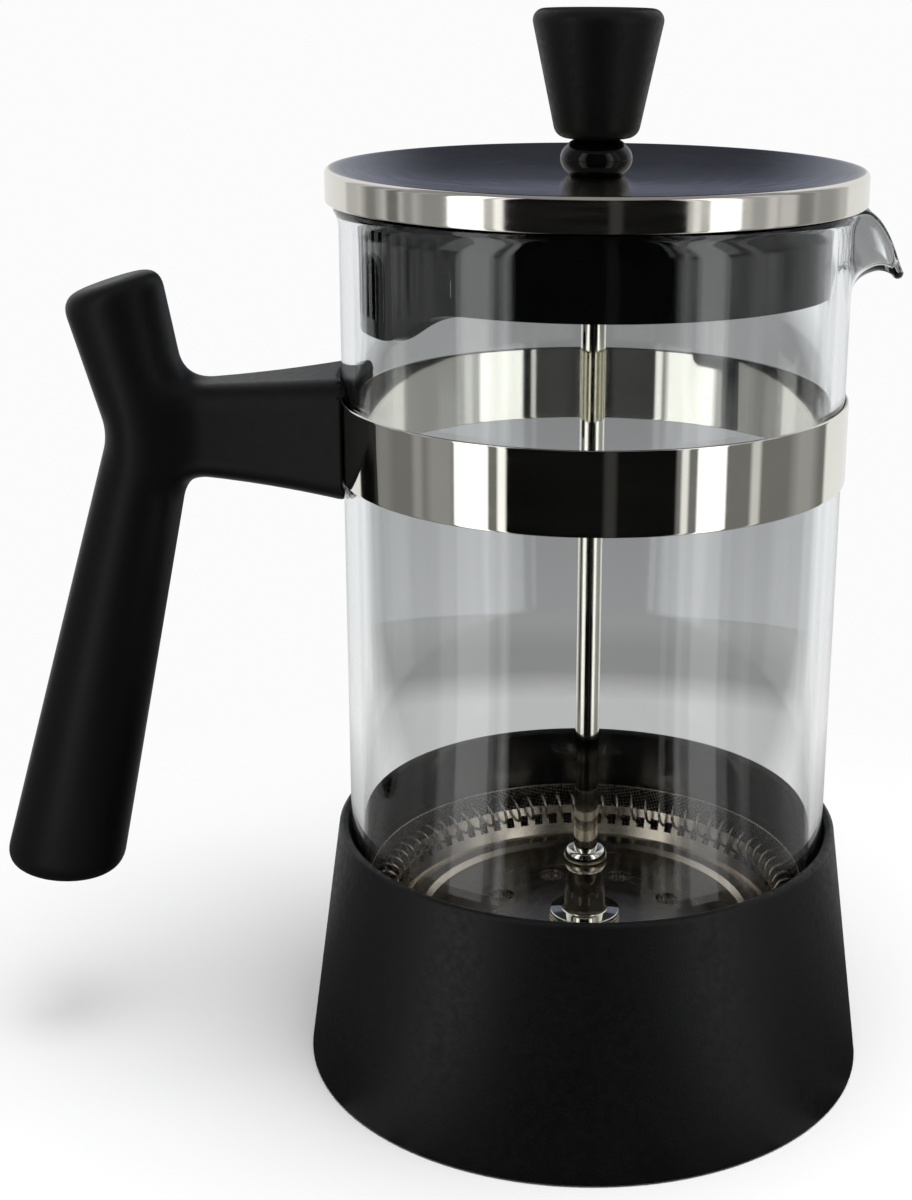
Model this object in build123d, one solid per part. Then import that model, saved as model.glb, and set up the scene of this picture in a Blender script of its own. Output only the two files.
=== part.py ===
from build123d import *
import math
import os

# French press, 1 litre class. Millimetres, +Z up.
# The origin is on the beaker's axis, at the surface that the press stands on.
# +X points towards the spout and -X towards the handle.

# Beaker
GLASS_R = 50.0
GLASS_WALL = 2.6
GLASS_BOTTOM_Z = 6.5
GLASS_FLOOR = 3.0
GLASS_TOP_Z = 182.2
GLASS_CORNER_R = 9.0
RIM_FLARE_R = 51.9
RIM_FLARE_H = 4.6

# Spout: stations along +X, each with its half width and the height of its underside
SPOUT_STATIONS = [
    (47.6, 11.5, 159.5),
    (51.2, 9.2, 166.4),
    (55.2, 6.4, 169.3),
    (58.2, 4.3, 168.6),
    (60.5, 3.2, 167.9),
]
SPOUT_WALL = 1.9
SPOUT_CREST = [(50.0, 181.6), (52.0, 178.6), (55.4, 176.9), (58.5, 173.5), (60.6, 168.9), (61.2, 166.0)]

# Base
BASE_BOTTOM_R = 59.5
BASE_TOP_R = 52.45
BASE_TOP_Z = 52.9
BASE_WALL = 2.0
BASE_SKIRT_Z = 0.5
BASE_FLOOR_Z = 3.6
BASE_FLOOR_T = 2.2
FOOT_IN_R = 50.5
FOOT_OUT_R = 55.5
FOOT_H = 3.1
SEAT_IN_R = 28.0
SEAT_OUT_R = 36.0
RIB_COUNT = 12
RIB_T = 1.6
RIB_IN_R = 50.6
RIB_OUT_R = 55.2
RIB_TOP_Z = 24.0

# Band
BAND_IN_R = 50.15
BAND_T = 0.6
SCREW_CLEARANCE = 0.3
BAND_LOW_Z = 128.6
BAND_HIGH_Z = 144.6
EAR_GAP = 2.2
EAR_LENGTH = 15.0
EAR_LOW_Z = 130.4
EAR_HIGH_Z = 142.8

# Handle
SADDLE_R = 50.3
CHANNEL_R = 50.9
CHANNEL_LOW_Z = 128.2
CHANNEL_HIGH_Z = 146.4
# Each section of the bar: X, Z, half width in X, half width in Y, tilt about Y.
# The leg below and the thumb rest above are straight tapers that meet at a bent elbow.
BAR_SECTIONS = [
    (-113.15, 38.6, 13.3, 12.0, 6.3),
    (-92.4, 126.4, 9.5, 9.8, 0.0),
    (-91.0, 131.8, 9.3, 9.7, -2.0),
    (-90.3, 137.0, 9.2, 9.6, -8.0),
    (-91.2, 142.6, 9.4, 9.6, -13.0),
    (-97.0, 165.6, 10.4, 9.8, -15.7),
]
LEG_FOOT_FILLET = 3.6
STUB_TOP_FILLET = 2.6
# Each section of the arm: X, Z, height, width
ARM_SECTIONS = [
    (-92.0, 136.6, 20.0, 16.0),
    (-78.0, 136.5, 21.4, 18.5),
    (-62.0, 136.4, 24.6, 23.0),
    (-46.0, 136.3, 27.4, 33.0),
]
ARM_EDGE_R = 6.0
EAR_SIDE_CLEARANCE = 0.25
EAR_END_CLEARANCE = 1.5
SCREW_X = -59.5
SCREW_Z = 136.6
SCREW_R = 2.0
SCREW_HEAD_R = 3.6
SCREW_HEAD_H = 2.6
SCREW_HEAD_Y = 9.0
SCREW_TIP_Y = -8.6
SCREW_TIP_GAP = 0.6
CROSS_SLOT_L = 4.0
CROSS_SLOT_W = 0.9
CROSS_SLOT_DEPTH = 1.2
INSERT_R = 3.2
INSERT_IN_Y = -2.4

# Lid
LID_TOP_Z = 189.0
LID_TOP_R = 52.5
LID_DISH = 1.7
LID_RIM_Z = 182.7
LID_SHEET = 0.7
LID_EDGE_R = 1.2
INNER_FLANGE_R = 49.6
INNER_FLANGE_Z = 182.4
INNER_TOP_Z = 186.5
INNER_PLATE_T = 2.2
SKIRT_R = 46.2
SKIRT_WALL = 1.8
SKIRT_LOW_Z = 166.4
TONGUE_LOW_Z = 159.4
TONGUE_FLAT_DEG = 33.0
TONGUE_END_DEG = 61.0
SLOT_COUNT = 31
SLOT_PITCH_DEG = 3.75
SLOT_W = 1.5
SLOT_TOP_Z = 180.2
SLOT_ABOVE_EDGE = 3.4
BOSS_R = 9.0
BOSS_H = 3.0

# Ball: the guide bush is its lower half and the knob's collar its upper half
BALL_R = 7.05
BALL_HALF_H = 4.6
BALL_Z = 190.5
BALL_LOW_Z = 187.35
NECK_R = 4.0
NECK_LOW_Z = 178.4
NECK_CLEARANCE = 0.05
RETAINER_R = 7.6

# Rod and knob
ROD_R = 2.5
ROD_CLEARANCE = 0.05
ROD_TOP_Z = 206.0
ROD_LOW_Z = 22.6
KNOB_LOW_Z = 194.4
KNOB_HIGH_Z = 218.4
KNOB_LOW_R = 7.9
KNOB_HIGH_R = 13.0
KNOB_LOW_FILLET = 2.6
KNOB_HIGH_FILLET = 2.2
KNOB_INSERT_R = 4.2
KNOB_INSERT_H = 12.0
SEAM = 0.05

# Filter pack
PLATE_Z = 29.4
PLATE_T = 0.6
PLATE_BORE_R = 2.9
PLATE_FLAT_R = 34.5
BEAD_R = 37.6
BEAD_H = 1.3
BEAD_SHOULDER = 0.7
BEAD_IN_W = 1.2
BEAD_OUT_W = 2.0
FLANGE_START_R = 40.6
COIL_R = 43.75
COIL_MINOR_R = 2.8
COIL_Z = 36.3
WIRE_R = 0.35
TURNS = 75
COIL_LEAD_DEG = -12.0
HOLE_W = 1.9
HOLE_L = 2.4
WATER_HOLES = 8
WATER_HOLE_R = 2.9
WATER_HOLE_PCD_R = 20.0
MESH_T = 0.35
MESH_RIM_R = 47.3
MESH_RIM_Z = 40.4
CROSS_T = 1.0
CROSS_R = 40.0
PETAL_COUNT = 8
PETAL_R = 23.5
PETAL_L = 24.0
PETAL_W = 11.0
HUB_R = 4.4
HUB_TOP_Z = 45.6
HUB_BEAD_R = 4.7
HUB_BEAD_H = 4.8
HUB_BEAD_FILLET = 2.0
HUB_FLANGE_R = 7.6
HUB_FLANGE_H = 1.1
HUB_GROOVE_DEPTH = 0.5
HUB_GROOVE_CHAMFER = 0.4
NUT_R = 7.5
NUT_CAP_T = 1.2

os.makedirs("parts", exist_ok=True)


def save(shape, name):
    """Writes one node's STEP file."""
    export_step(shape, f"parts/{name}.step")


def turned(points):
    """A closed outline in radius and height, turned once round the Z axis."""
    outline = Polyline(*[(r, 0, z) for r, z in points], close=True)
    return revolve(make_face(outline), Axis.Z)


def ring(inner, outer, low, high):
    """A plain ring or, with no inner radius, a disc."""
    body = Pos(0, 0, low) * Cylinder(outer, high - low, align=(Align.CENTER, Align.CENTER, Align.MIN))
    if inner:
        body -= Pos(0, 0, low) * Cylinder(inner, high - low, align=(Align.CENTER, Align.CENTER, Align.MIN))
    return body


def block(low, high):
    """A box between two opposite corners."""
    size = [b - a for a, b in zip(low, high)]
    return Pos(*low) * Box(*size, align=Align.MIN)


# --- beaker ---------------------------------------------------------------

def beaker_side(radius, bottom, corner, flare, top):
    """Filled body of revolution: flat bottom, round corner, straight wall and a flared rim."""
    flare_z = GLASS_TOP_Z - RIM_FLARE_H
    base = Line((0, 0, bottom), (radius - corner, 0, bottom))
    arc = TangentArc(base @ 1, (radius, 0, bottom + corner), tangent=(1, 0, 0))
    wall = Line(arc @ 1, (radius, 0, flare_z))
    rim = TangentArc(wall @ 1, (radius + flare, 0, top), tangent=(0, 0, 1))
    closing = Polyline(rim @ 1, (0, 0, top), (0, 0, bottom))
    return revolve(make_face(Curve() + [base, arc, wall, rim, closing]), Axis.Z)


def spout_section(x, half_width, low, high):
    """U-shaped section of the spout on the plane X = x, open upwards."""
    shoulder = low + half_width * 0.9
    bow = ThreePointArc((x, -half_width, shoulder), (x, 0, low), (x, half_width, shoulder))
    sides = Polyline(bow @ 1, (x, half_width, high), (x, -half_width, high), bow @ 0)
    return make_face(Curve() + [bow, sides])


def spout_horn(inset, reach, high):
    """Beak-shaped solid through the spout's stations, inset by a wall and drawn on past the tip."""
    stations = [(x, w - inset, z + inset) for x, w, z in SPOUT_STATIONS]
    if reach:
        x, w, z = stations[-1]
        stations[-1] = (x + reach, w, z - 0.5)
    return loft([spout_section(x, w, z, high) for x, w, z in stations])


def above_spout():
    """Everything above the spout's curved crest."""
    crest = Spline(*[(x, 0, z) for x, z in SPOUT_CREST])
    far = SPOUT_CREST[-1][0] + 10
    near = SPOUT_CREST[0][0]
    high = GLASS_TOP_Z + 10
    rest = Polyline(crest @ 1, (far, 0, SPOUT_CREST[-1][1]), (far, 0, high), (near, 0, high), crest @ 0)
    face = make_face(Curve() + [crest, rest])
    return extrude(face, 20, both=True)


def make_beaker():
    """Glass cylinder with its pulled spout."""
    outside = beaker_side(GLASS_R, GLASS_BOTTOM_Z, GLASS_CORNER_R, RIM_FLARE_R - GLASS_R, GLASS_TOP_Z)
    inner_flare = RIM_FLARE_R - GLASS_R + 0.5
    hollow = beaker_side(GLASS_R - GLASS_WALL, GLASS_BOTTOM_Z + GLASS_FLOOR,
                         GLASS_CORNER_R - GLASS_WALL, inner_flare, GLASS_TOP_Z)
    horn = spout_horn(0, 0, GLASS_TOP_Z - 1.5) - above_spout()
    channel = spout_horn(SPOUT_WALL, 3.0, GLASS_TOP_Z + 5)
    return outside + horn - hollow - channel


# --- base -----------------------------------------------------------------

def make_base_skirt():
    """Flared shell with a rounded lip, a floor and the short ribs that centre the beaker."""
    bottom = BASE_SKIRT_Z
    lean = (BASE_BOTTOM_R - BASE_TOP_R) / (BASE_TOP_Z - bottom)
    lip = BASE_WALL / 2

    def side(z):
        return BASE_BOTTOM_R - (z - bottom) * lean

    outline = [
        (BASE_BOTTOM_R, bottom),
        (side(BASE_TOP_Z - lip), BASE_TOP_Z - lip),
        (side(BASE_TOP_Z - lip) - lip, BASE_TOP_Z),
        (side(BASE_TOP_Z - lip) - BASE_WALL, BASE_TOP_Z - lip),
        (side(BASE_FLOOR_Z) - BASE_WALL, BASE_FLOOR_Z + BASE_FLOOR_T),
        (0, BASE_FLOOR_Z + BASE_FLOOR_T),
        (0, BASE_FLOOR_Z),
        (FOOT_IN_R - BASE_WALL, BASE_FLOOR_Z),
        (FOOT_IN_R - BASE_WALL, bottom),
    ]
    points = [(r, 0, z) for r, z in outline]
    lip_arc = ThreePointArc(points[1], points[2], points[3])
    sides = [Line(points[0], points[1]), lip_arc, Polyline(*points[3:], points[0])]
    shell = revolve(make_face(Curve() + sides), Axis.Z)
    shell -= ring(FOOT_IN_R, FOOT_OUT_R, 0, BASE_SKIRT_Z + FOOT_H - 0.5)
    rib = block((RIB_IN_R, -RIB_T / 2, BASE_FLOOR_Z + 1), (RIB_OUT_R, RIB_T / 2, RIB_TOP_Z))
    for i in range(RIB_COUNT):
        shell += Rot(0, 0, 360 / RIB_COUNT * (i + 0.5)) * rib
    return shell


def make_foot_ring():
    """Non-slip ring pressed into the groove under the base."""
    body = ring(FOOT_IN_R, FOOT_OUT_R, 0, FOOT_H)
    return chamfer(body.edges().filter_by(GeomType.CIRCLE).group_by(Axis.Z)[0], 0.4)


def make_seat_ring():
    """Soft ring that the beaker's bottom stands on."""
    return ring(SEAT_IN_R, SEAT_OUT_R, BASE_FLOOR_Z + BASE_FLOOR_T, GLASS_BOTTOM_Z)


# --- band and handle ------------------------------------------------------

def make_band():
    """Steel strap whose ends turn outwards into two parallel ears."""
    strap = ring(BAND_IN_R, BAND_IN_R + BAND_T, BAND_LOW_Z, BAND_HIGH_Z)
    mouth = EAR_GAP / 2
    strap -= block((-BAND_IN_R - 2, -mouth, BAND_LOW_Z - 1), (-BAND_IN_R + 2, mouth, BAND_HIGH_Z + 1))
    hole = Pos(SCREW_X, 0, SCREW_Z) * Rot(90, 0, 0) * Cylinder(SCREW_R + SCREW_CLEARANCE, 20)
    for side in (-1, 1):
        near, far = sorted((side * mouth, side * (mouth + BAND_T)))
        ear = block((-BAND_IN_R - EAR_LENGTH, near, EAR_LOW_Z), (-BAND_IN_R - 0.1, far, EAR_HIGH_Z))
        strap += ear
    return strap - hole


def bar_section(x, z, half_x, half_y, tilt):
    """Ellipse across the handle's bar, tilted about Y."""
    return Plane(origin=(x, 0, z)) * (Rot(0, tilt, 0) * Ellipse(half_x, half_y))


def arm_section(x, z, height, width):
    """Rounded rectangle across the handle's arm."""
    corner = min(ARM_EDGE_R, width / 2 - 1)
    plane = Plane(origin=(x, 0, z), x_dir=(0, 1, 0), z_dir=(1, 0, 0))
    return plane * RectangleRounded(width, height, corner)


def make_bar():
    """Round bar: the leg, the elbow and the thumb rest, with round edges at both ends."""
    bar = loft([bar_section(*s) for s in BAR_SECTIONS], ruled=True)
    bar = fillet(bar.edges().group_by(Axis.Z)[0], LEG_FOOT_FILLET)
    top = bar.faces().sort_by(Axis.Z)[-1]
    return fillet(top.edges(), STUB_TOP_FILLET)


def make_handle():
    """The bar, and an arm that spreads into a saddle against the beaker."""
    arm = loft([arm_section(*s) for s in ARM_SECTIONS])
    arm -= Pos(0, 0, SCREW_Z) * Cylinder(SADDLE_R, 60)
    body = make_bar() + arm
    body -= ring(0, CHANNEL_R, CHANNEL_LOW_Z, CHANNEL_HIGH_Z)
    half = EAR_GAP / 2 + BAND_T + EAR_SIDE_CLEARANCE
    end = BAND_IN_R + EAR_LENGTH + EAR_END_CLEARANCE
    low = EAR_LOW_Z - EAR_END_CLEARANCE
    high = EAR_HIGH_Z + EAR_END_CLEARANCE
    body -= block((-end, -half, low), (-SADDLE_R + 5, half, high))
    return body - screw_bores()


def across(x, z, radius, low, high):
    """A cylinder along Y."""
    return Pos(x, (low + high) / 2, z) * Rot(90, 0, 0) * Cylinder(radius, high - low)


def screw_bores():
    """Clearance hole, head recess and insert seat of the clamp screw."""
    shank = across(SCREW_X, SCREW_Z, SCREW_R + SCREW_CLEARANCE, 0, 20)
    head = across(SCREW_X, SCREW_Z, SCREW_HEAD_R + SCREW_CLEARANCE, SCREW_HEAD_Y - SCREW_HEAD_H, 20)
    seat = across(SCREW_X, SCREW_Z, INSERT_R, SCREW_TIP_Y, 0)
    return shank + head + seat


def make_clamp_screw():
    """Pan-head screw with a cross recess, its head in the far side of the arm."""
    under_head = SCREW_HEAD_Y - SCREW_HEAD_H
    shank = across(SCREW_X, SCREW_Z, SCREW_R, SCREW_TIP_Y + SCREW_TIP_GAP, under_head)
    head = across(SCREW_X, SCREW_Z, SCREW_HEAD_R, under_head, SCREW_HEAD_Y)
    head = fillet(head.edges().group_by(Axis.Y)[-1], 1.0)
    slot = Box(CROSS_SLOT_L, 2 * CROSS_SLOT_DEPTH, CROSS_SLOT_W)
    recess = Pos(SCREW_X, SCREW_HEAD_Y, SCREW_Z) * (slot + Rot(0, 90, 0) * slot)
    return shank + head - recess


def make_clamp_insert():
    """Threaded insert moulded into the near side of the arm."""
    body = across(SCREW_X, SCREW_Z, INSERT_R, SCREW_TIP_Y, INSERT_IN_Y)
    return body - across(SCREW_X, SCREW_Z, SCREW_R, SCREW_TIP_Y + SCREW_TIP_GAP, 0)


# --- lid ------------------------------------------------------------------

def make_lid_cover():
    """Pressed cap: slightly dished top, tight rounded edge and a straight rim."""
    bore = NECK_R + NECK_CLEARANCE
    low = LID_TOP_Z - LID_DISH
    turn_r = LID_TOP_R - LID_EDGE_R
    turn_z = LID_TOP_Z - LID_EDGE_R
    inner_r = LID_TOP_R - LID_SHEET
    level = [(1, 0, 0), (1, 0, 0)]
    dish = Spline((bore, 0, low), (turn_r, 0, LID_TOP_Z), tangents=level)
    edge = TangentArc(dish @ 1, (LID_TOP_R, 0, turn_z), tangent=(1, 0, 0))
    rim = Polyline(edge @ 1, (LID_TOP_R, 0, LID_RIM_Z), (inner_r, 0, LID_RIM_Z), (inner_r, 0, turn_z))
    inner_edge = TangentArc(rim @ 1, (turn_r, 0, LID_TOP_Z - LID_SHEET), tangent=(0, 0, 1))
    underside = Spline((bore, 0, low - LID_SHEET), inner_edge @ 1, tangents=level)
    hole = Line(underside @ 0, dish @ 0)
    return revolve(make_face(Curve() + [dish, edge, rim, inner_edge, underside, hole]), Axis.Z)


def tongue_edge():
    """Lower edge of the skirt on the handle side, as a curve in Y and Z."""
    flat_y = SKIRT_R * math.sin(math.radians(TONGUE_FLAT_DEG))
    end_y = SKIRT_R * math.sin(math.radians(TONGUE_END_DEG))
    fall = Spline((0, -end_y, SKIRT_LOW_Z), (0, -flat_y, TONGUE_LOW_Z), tangents=[(0, 1, 0), (0, 1, 0)])
    flat = Line(fall @ 1, (0, flat_y, TONGUE_LOW_Z))
    rise = Spline(flat @ 1, (0, end_y, SKIRT_LOW_Z), tangents=[(0, 1, 0), (0, 1, 0)])
    return fall, flat, rise


def under_skirt():
    """Everything below the skirt's lower edge."""
    fall, flat, rise = tongue_edge()
    far = 60.0
    low = TONGUE_LOW_Z - 5
    rest = Polyline(rise @ 1, (0, far, SKIRT_LOW_Z), (0, far, low), (0, -far, low),
                    (0, -far, SKIRT_LOW_Z), fall @ 0)
    handle_side = extrude(make_face(Curve() + [fall, flat, rise, rest]), 60, dir=(-1, 0, 0))
    return handle_side + block((0, -far, low), (far, far, SKIRT_LOW_Z))


def slot_low_z(angle):
    """Lower end of a strainer slot, which follows the skirt's edge."""
    share = (abs(angle) - TONGUE_FLAT_DEG) / (TONGUE_END_DEG - TONGUE_FLAT_DEG)
    share = min(1, max(0, share))
    eased = share * share * (3 - 2 * share)
    return TONGUE_LOW_Z + SLOT_ABOVE_EDGE + eased * (SKIRT_LOW_Z - TONGUE_LOW_Z)


def make_lid_insert():
    """Inner lid: top plate, flange that covers the glass rim, skirt, strainer slots and central boss."""
    plate_low = INNER_TOP_Z - INNER_PLATE_T
    flange_high = INNER_FLANGE_Z + 2
    bore = NECK_R + NECK_CLEARANCE
    body = turned([
        (bore, INNER_TOP_Z), (SKIRT_R, INNER_TOP_Z), (SKIRT_R, flange_high), (INNER_FLANGE_R, flange_high),
        (INNER_FLANGE_R, INNER_FLANGE_Z), (SKIRT_R, INNER_FLANGE_Z), (SKIRT_R, TONGUE_LOW_Z),
        (SKIRT_R - SKIRT_WALL, TONGUE_LOW_Z), (SKIRT_R - SKIRT_WALL, plate_low),
        (BOSS_R, plate_low), (BOSS_R, plate_low - BOSS_H), (bore, plate_low - BOSS_H),
    ])
    body -= under_skirt()
    for i in range(SLOT_COUNT):
        angle = (i - (SLOT_COUNT - 1) / 2) * SLOT_PITCH_DEG
        slot = block((-SKIRT_R - 2, -SLOT_W / 2, slot_low_z(angle)),
                     (-SKIRT_R + SKIRT_WALL + 1, SLOT_W / 2, SLOT_TOP_Z))
        body -= Rot(0, 0, angle) * slot
    return body


# --- ball, bush and knob --------------------------------------------------

def ball_half(low, high, bore):
    """The part of the flattened ball between two heights, bored through."""
    steps = 4
    heights = [low + (high - low) * i / steps for i in range(steps + 1)]
    side = Spline(*[(BALL_R * math.sqrt(1 - ((z - BALL_Z) / BALL_HALF_H) ** 2), 0, z) for z in heights])
    rest = Polyline(side @ 1, (bore, 0, high), (bore, 0, low), side @ 0)
    return revolve(make_face(Curve() + [side, rest]), Axis.Z)


def make_knob_collar():
    """Upper half of the ball, which rides on the rod under the knob."""
    return ball_half(BALL_Z, KNOB_LOW_Z - SEAM, ROD_R + ROD_CLEARANCE)


def make_guide_bush():
    """Lower half of the ball, with the neck that passes through the lid."""
    bore = ROD_R + ROD_CLEARANCE
    return ball_half(BALL_LOW_Z, BALL_Z - SEAM, bore) + ring(bore, NECK_R, NECK_LOW_Z, BALL_LOW_Z)


def make_bush_retainer():
    """Ring nut on the bush's neck, under the inner lid's boss."""
    high = INNER_TOP_Z - INNER_PLATE_T - BOSS_H - SEAM
    nut = Pos(0, 0, NECK_LOW_Z) * extrude(RegularPolygon(RETAINER_R, 6), high - NECK_LOW_Z)
    return nut - ring(0, NECK_R, NECK_LOW_Z, high)


def make_knob():
    """Inverted cone with round edges and a blind bore for the threaded insert."""
    body = turned([(0, KNOB_LOW_Z), (KNOB_LOW_R, KNOB_LOW_Z), (KNOB_HIGH_R, KNOB_HIGH_Z), (0, KNOB_HIGH_Z)])
    body = fillet(body.edges().filter_by(GeomType.CIRCLE).group_by(Axis.Z)[0], KNOB_LOW_FILLET)
    body = fillet(body.edges().filter_by(GeomType.CIRCLE).group_by(Axis.Z)[-1], KNOB_HIGH_FILLET)
    return body - ring(0, KNOB_INSERT_R, KNOB_LOW_Z, KNOB_LOW_Z + KNOB_INSERT_H)


def make_knob_insert():
    """Brass insert moulded into the knob, which takes the end of the rod."""
    return ring(ROD_R, KNOB_INSERT_R, KNOB_LOW_Z + 0.1, KNOB_LOW_Z + KNOB_INSERT_H)


# --- filter pack ----------------------------------------------------------

def plate_line(lift):
    """Radii and heights along the spiral plate: flat, round bead, then the raised edge."""
    base = PLATE_Z + lift
    shoulder = base + BEAD_H * BEAD_SHOULDER
    return [
        (PLATE_BORE_R, base),
        (PLATE_FLAT_R, base),
        (PLATE_FLAT_R + BEAD_IN_W, shoulder),
        (BEAD_R, base + BEAD_H),
        (BEAD_R + BEAD_OUT_W, shoulder),
        (FLANGE_START_R, base + 0.2),
        (COIL_R, COIL_Z - WIRE_R - 0.25 + lift),
    ]


def make_spiral_plate():
    """Pressed plate with a bead, a raised edge with one hole for each turn of the coil, and water holes."""
    lower = plate_line(0)
    plate = turned(lower + plate_line(PLATE_T)[::-1])
    start, end = lower[-2:]
    run = end[0] - start[0]
    rise = end[1] - start[1]
    slope = math.degrees(math.atan2(rise, run))
    back = COIL_MINOR_R / math.hypot(rise, run)
    centre = Pos(end[0] - run * back, 0, end[1] - rise * back + PLATE_T / 2)
    punch = centre * Rot(0, -slope, 0) * Box(HOLE_L, HOLE_W, 4)
    for i in range(TURNS):
        plate -= Rot(0, 0, 360 / TURNS * i) * punch
    drill = Pos(WATER_HOLE_PCD_R, 0, PLATE_Z) * Cylinder(WATER_HOLE_R, 6)
    for i in range(WATER_HOLES):
        plate -= Rot(0, 0, 360 / WATER_HOLES * (i + 0.5)) * drill
    return plate


def make_coil_spring():
    """The coil's turns, each a ring of wire leaning along the coil as the winding does."""
    turn = Pos(COIL_R, 0, COIL_Z) * Rot(0, 0, COIL_LEAD_DEG) * Rot(90, 0, 0) * Torus(COIL_MINOR_R, WIRE_R)
    return Compound(children=[Rot(0, 0, 360 / TURNS * i) * turn for i in range(TURNS)])


def mesh_side(radius, flat_z, start_r):
    """One side of the mesh: flat, then round under the coil and up to its rim."""
    def at(degrees):
        a = math.radians(degrees)
        return (COIL_R + radius * math.cos(a), 0, COIL_Z + radius * math.sin(a))

    flat = Polyline((ROD_R + SEAM, 0, flat_z), (start_r, 0, flat_z), at(-95))
    bend = ThreePointArc(at(-95), at(-45), at(0))
    wall = Line(bend @ 1, (COIL_R + radius, 0, MESH_RIM_Z))
    return [flat, bend, wall]


def make_mesh_filter():
    """Wire mesh disc, drawn as a thin shell, that turns up outside the coil against the glass."""
    low = PLATE_Z - MESH_T
    outer = mesh_side(MESH_RIM_R - COIL_R, low, FLANGE_START_R + 0.3)
    inner = mesh_side(MESH_RIM_R - COIL_R - MESH_T, PLATE_Z, FLANGE_START_R + 0.1)
    ends = [Line(outer[2] @ 1, inner[2] @ 1), Line(outer[0] @ 0, inner[0] @ 0)]
    return revolve(make_face(Curve() + outer + inner + ends), Axis.Z)


def make_cross_plate():
    """Stiff backing plate with petal-shaped openings between its spokes."""
    high = PLATE_Z - MESH_T
    plate = ring(ROD_R + SEAM, CROSS_R, high - CROSS_T, high)
    opening = Pos(PETAL_R, 0, high) * extrude(SlotOverall(PETAL_L, PETAL_W), 3, both=True)
    for i in range(PETAL_COUNT):
        plate -= Rot(0, 0, 360 / PETAL_COUNT * i) * opening
    return plate


def make_filter_hub():
    """Hub screwed on the rod: flange, straight barrel, groove and a round bead on top."""
    bottom = PLATE_Z + PLATE_T
    bead_low = HUB_TOP_Z - HUB_BEAD_H
    flange_high = bottom + HUB_FLANGE_H
    bead_mid = HUB_TOP_Z - HUB_BEAD_H / 2
    groove_r = HUB_R - HUB_GROOVE_DEPTH
    body = turned([
        (ROD_R, bottom), (HUB_FLANGE_R, bottom), (HUB_FLANGE_R, flange_high), (HUB_R, flange_high + 1),
        (HUB_R, bead_low - HUB_GROOVE_CHAMFER), (groove_r, bead_low), (groove_r, bead_mid), (ROD_R, bead_mid),
    ])
    bead = ring(ROD_R, HUB_BEAD_R, bead_low, HUB_TOP_Z)
    rims = bead.edges().filter_by(GeomType.CIRCLE).sort_by(SortBy.RADIUS)[-2:]
    return body + fillet(rims, HUB_BEAD_FILLET)


def make_filter_nut():
    """Cap nut that clamps the filter pack from below."""
    high = PLATE_Z - MESH_T - CROSS_T
    low = ROD_LOW_Z - NUT_CAP_T
    nut = Pos(0, 0, low) * extrude(RegularPolygon(NUT_R, 6), high - low)
    nut = chamfer(nut.edges().group_by(Axis.Z)[0], 0.6)
    return nut - ring(0, ROD_R, ROD_LOW_Z, high)


def make_rod():
    """Polished rod from inside the knob to the nut under the filter."""
    rod = ring(0, ROD_R, ROD_LOW_Z, ROD_TOP_Z)
    return chamfer(rod.edges().filter_by(GeomType.CIRCLE), 0.4)


NODES = {
    "base_skirt": make_base_skirt,
    "foot_ring": make_foot_ring,
    "seat_ring": make_seat_ring,
    "beaker": make_beaker,
    "band": make_band,
    "handle_body": make_handle,
    "clamp_screw": make_clamp_screw,
    "clamp_insert": make_clamp_insert,
    "lid_cover": make_lid_cover,
    "lid_insert": make_lid_insert,
    "guide_bush": make_guide_bush,
    "bush_retainer": make_bush_retainer,
    "knob_collar": make_knob_collar,
    "knob": make_knob,
    "knob_insert": make_knob_insert,
    "rod": make_rod,
    "filter_hub": make_filter_hub,
    "spiral_plate": make_spiral_plate,
    "coil_spring": make_coil_spring,
    "mesh_filter": make_mesh_filter,
    "cross_plate": make_cross_plate,
    "filter_nut": make_filter_nut,
}

for name, make in NODES.items():
    save(make(), name)
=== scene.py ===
import math

import bpy
import numpy as np
from mathutils import Matrix, Vector


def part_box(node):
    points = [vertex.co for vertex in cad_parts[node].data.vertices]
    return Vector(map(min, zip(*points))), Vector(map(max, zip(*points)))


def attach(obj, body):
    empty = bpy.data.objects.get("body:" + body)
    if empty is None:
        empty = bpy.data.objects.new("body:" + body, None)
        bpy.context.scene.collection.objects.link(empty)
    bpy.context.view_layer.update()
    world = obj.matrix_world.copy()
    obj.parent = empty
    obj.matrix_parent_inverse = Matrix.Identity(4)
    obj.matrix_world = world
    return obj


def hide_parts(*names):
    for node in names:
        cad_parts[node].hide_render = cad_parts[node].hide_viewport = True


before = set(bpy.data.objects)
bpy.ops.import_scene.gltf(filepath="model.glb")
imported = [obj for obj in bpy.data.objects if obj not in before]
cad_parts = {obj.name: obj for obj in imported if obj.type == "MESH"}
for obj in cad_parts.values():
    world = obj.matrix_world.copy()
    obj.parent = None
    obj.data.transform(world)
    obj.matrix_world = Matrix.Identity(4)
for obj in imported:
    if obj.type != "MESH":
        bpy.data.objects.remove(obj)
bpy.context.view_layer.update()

MM = 0.001
TAU = 2 * math.pi

# --- sizes read from the frame, in millimetres ------------------------------


def size_of(node):
    """Lowest and highest corner of a CAD node, in millimetres."""
    low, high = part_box(node)
    return low / MM, high / MM


band_low, band_high = size_of("band")
beaker_low, beaker_high = size_of("beaker")
handle_low, handle_high = size_of("handle_body")
coil_low, coil_high = size_of("coil_spring")
mesh_low, mesh_high = size_of("mesh_filter")
lid_low, lid_high = size_of("lid_cover")
screw_low, screw_high = size_of("clamp_screw")
hub_low, hub_high = size_of("filter_hub")

BAND_R = band_high.y
STRAP_T = 0.6
STRAP_GAP = 0.15
GLASS_R = BAND_R - STRAP_T - STRAP_GAP
GLASS_WALL = 2.6
GLASS_LOW = beaker_low.z
GLASS_TOP = beaker_high.z
GLASS_CORNER_R = 9.0

# --- materials ---------------------------------------------------------------

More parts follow.
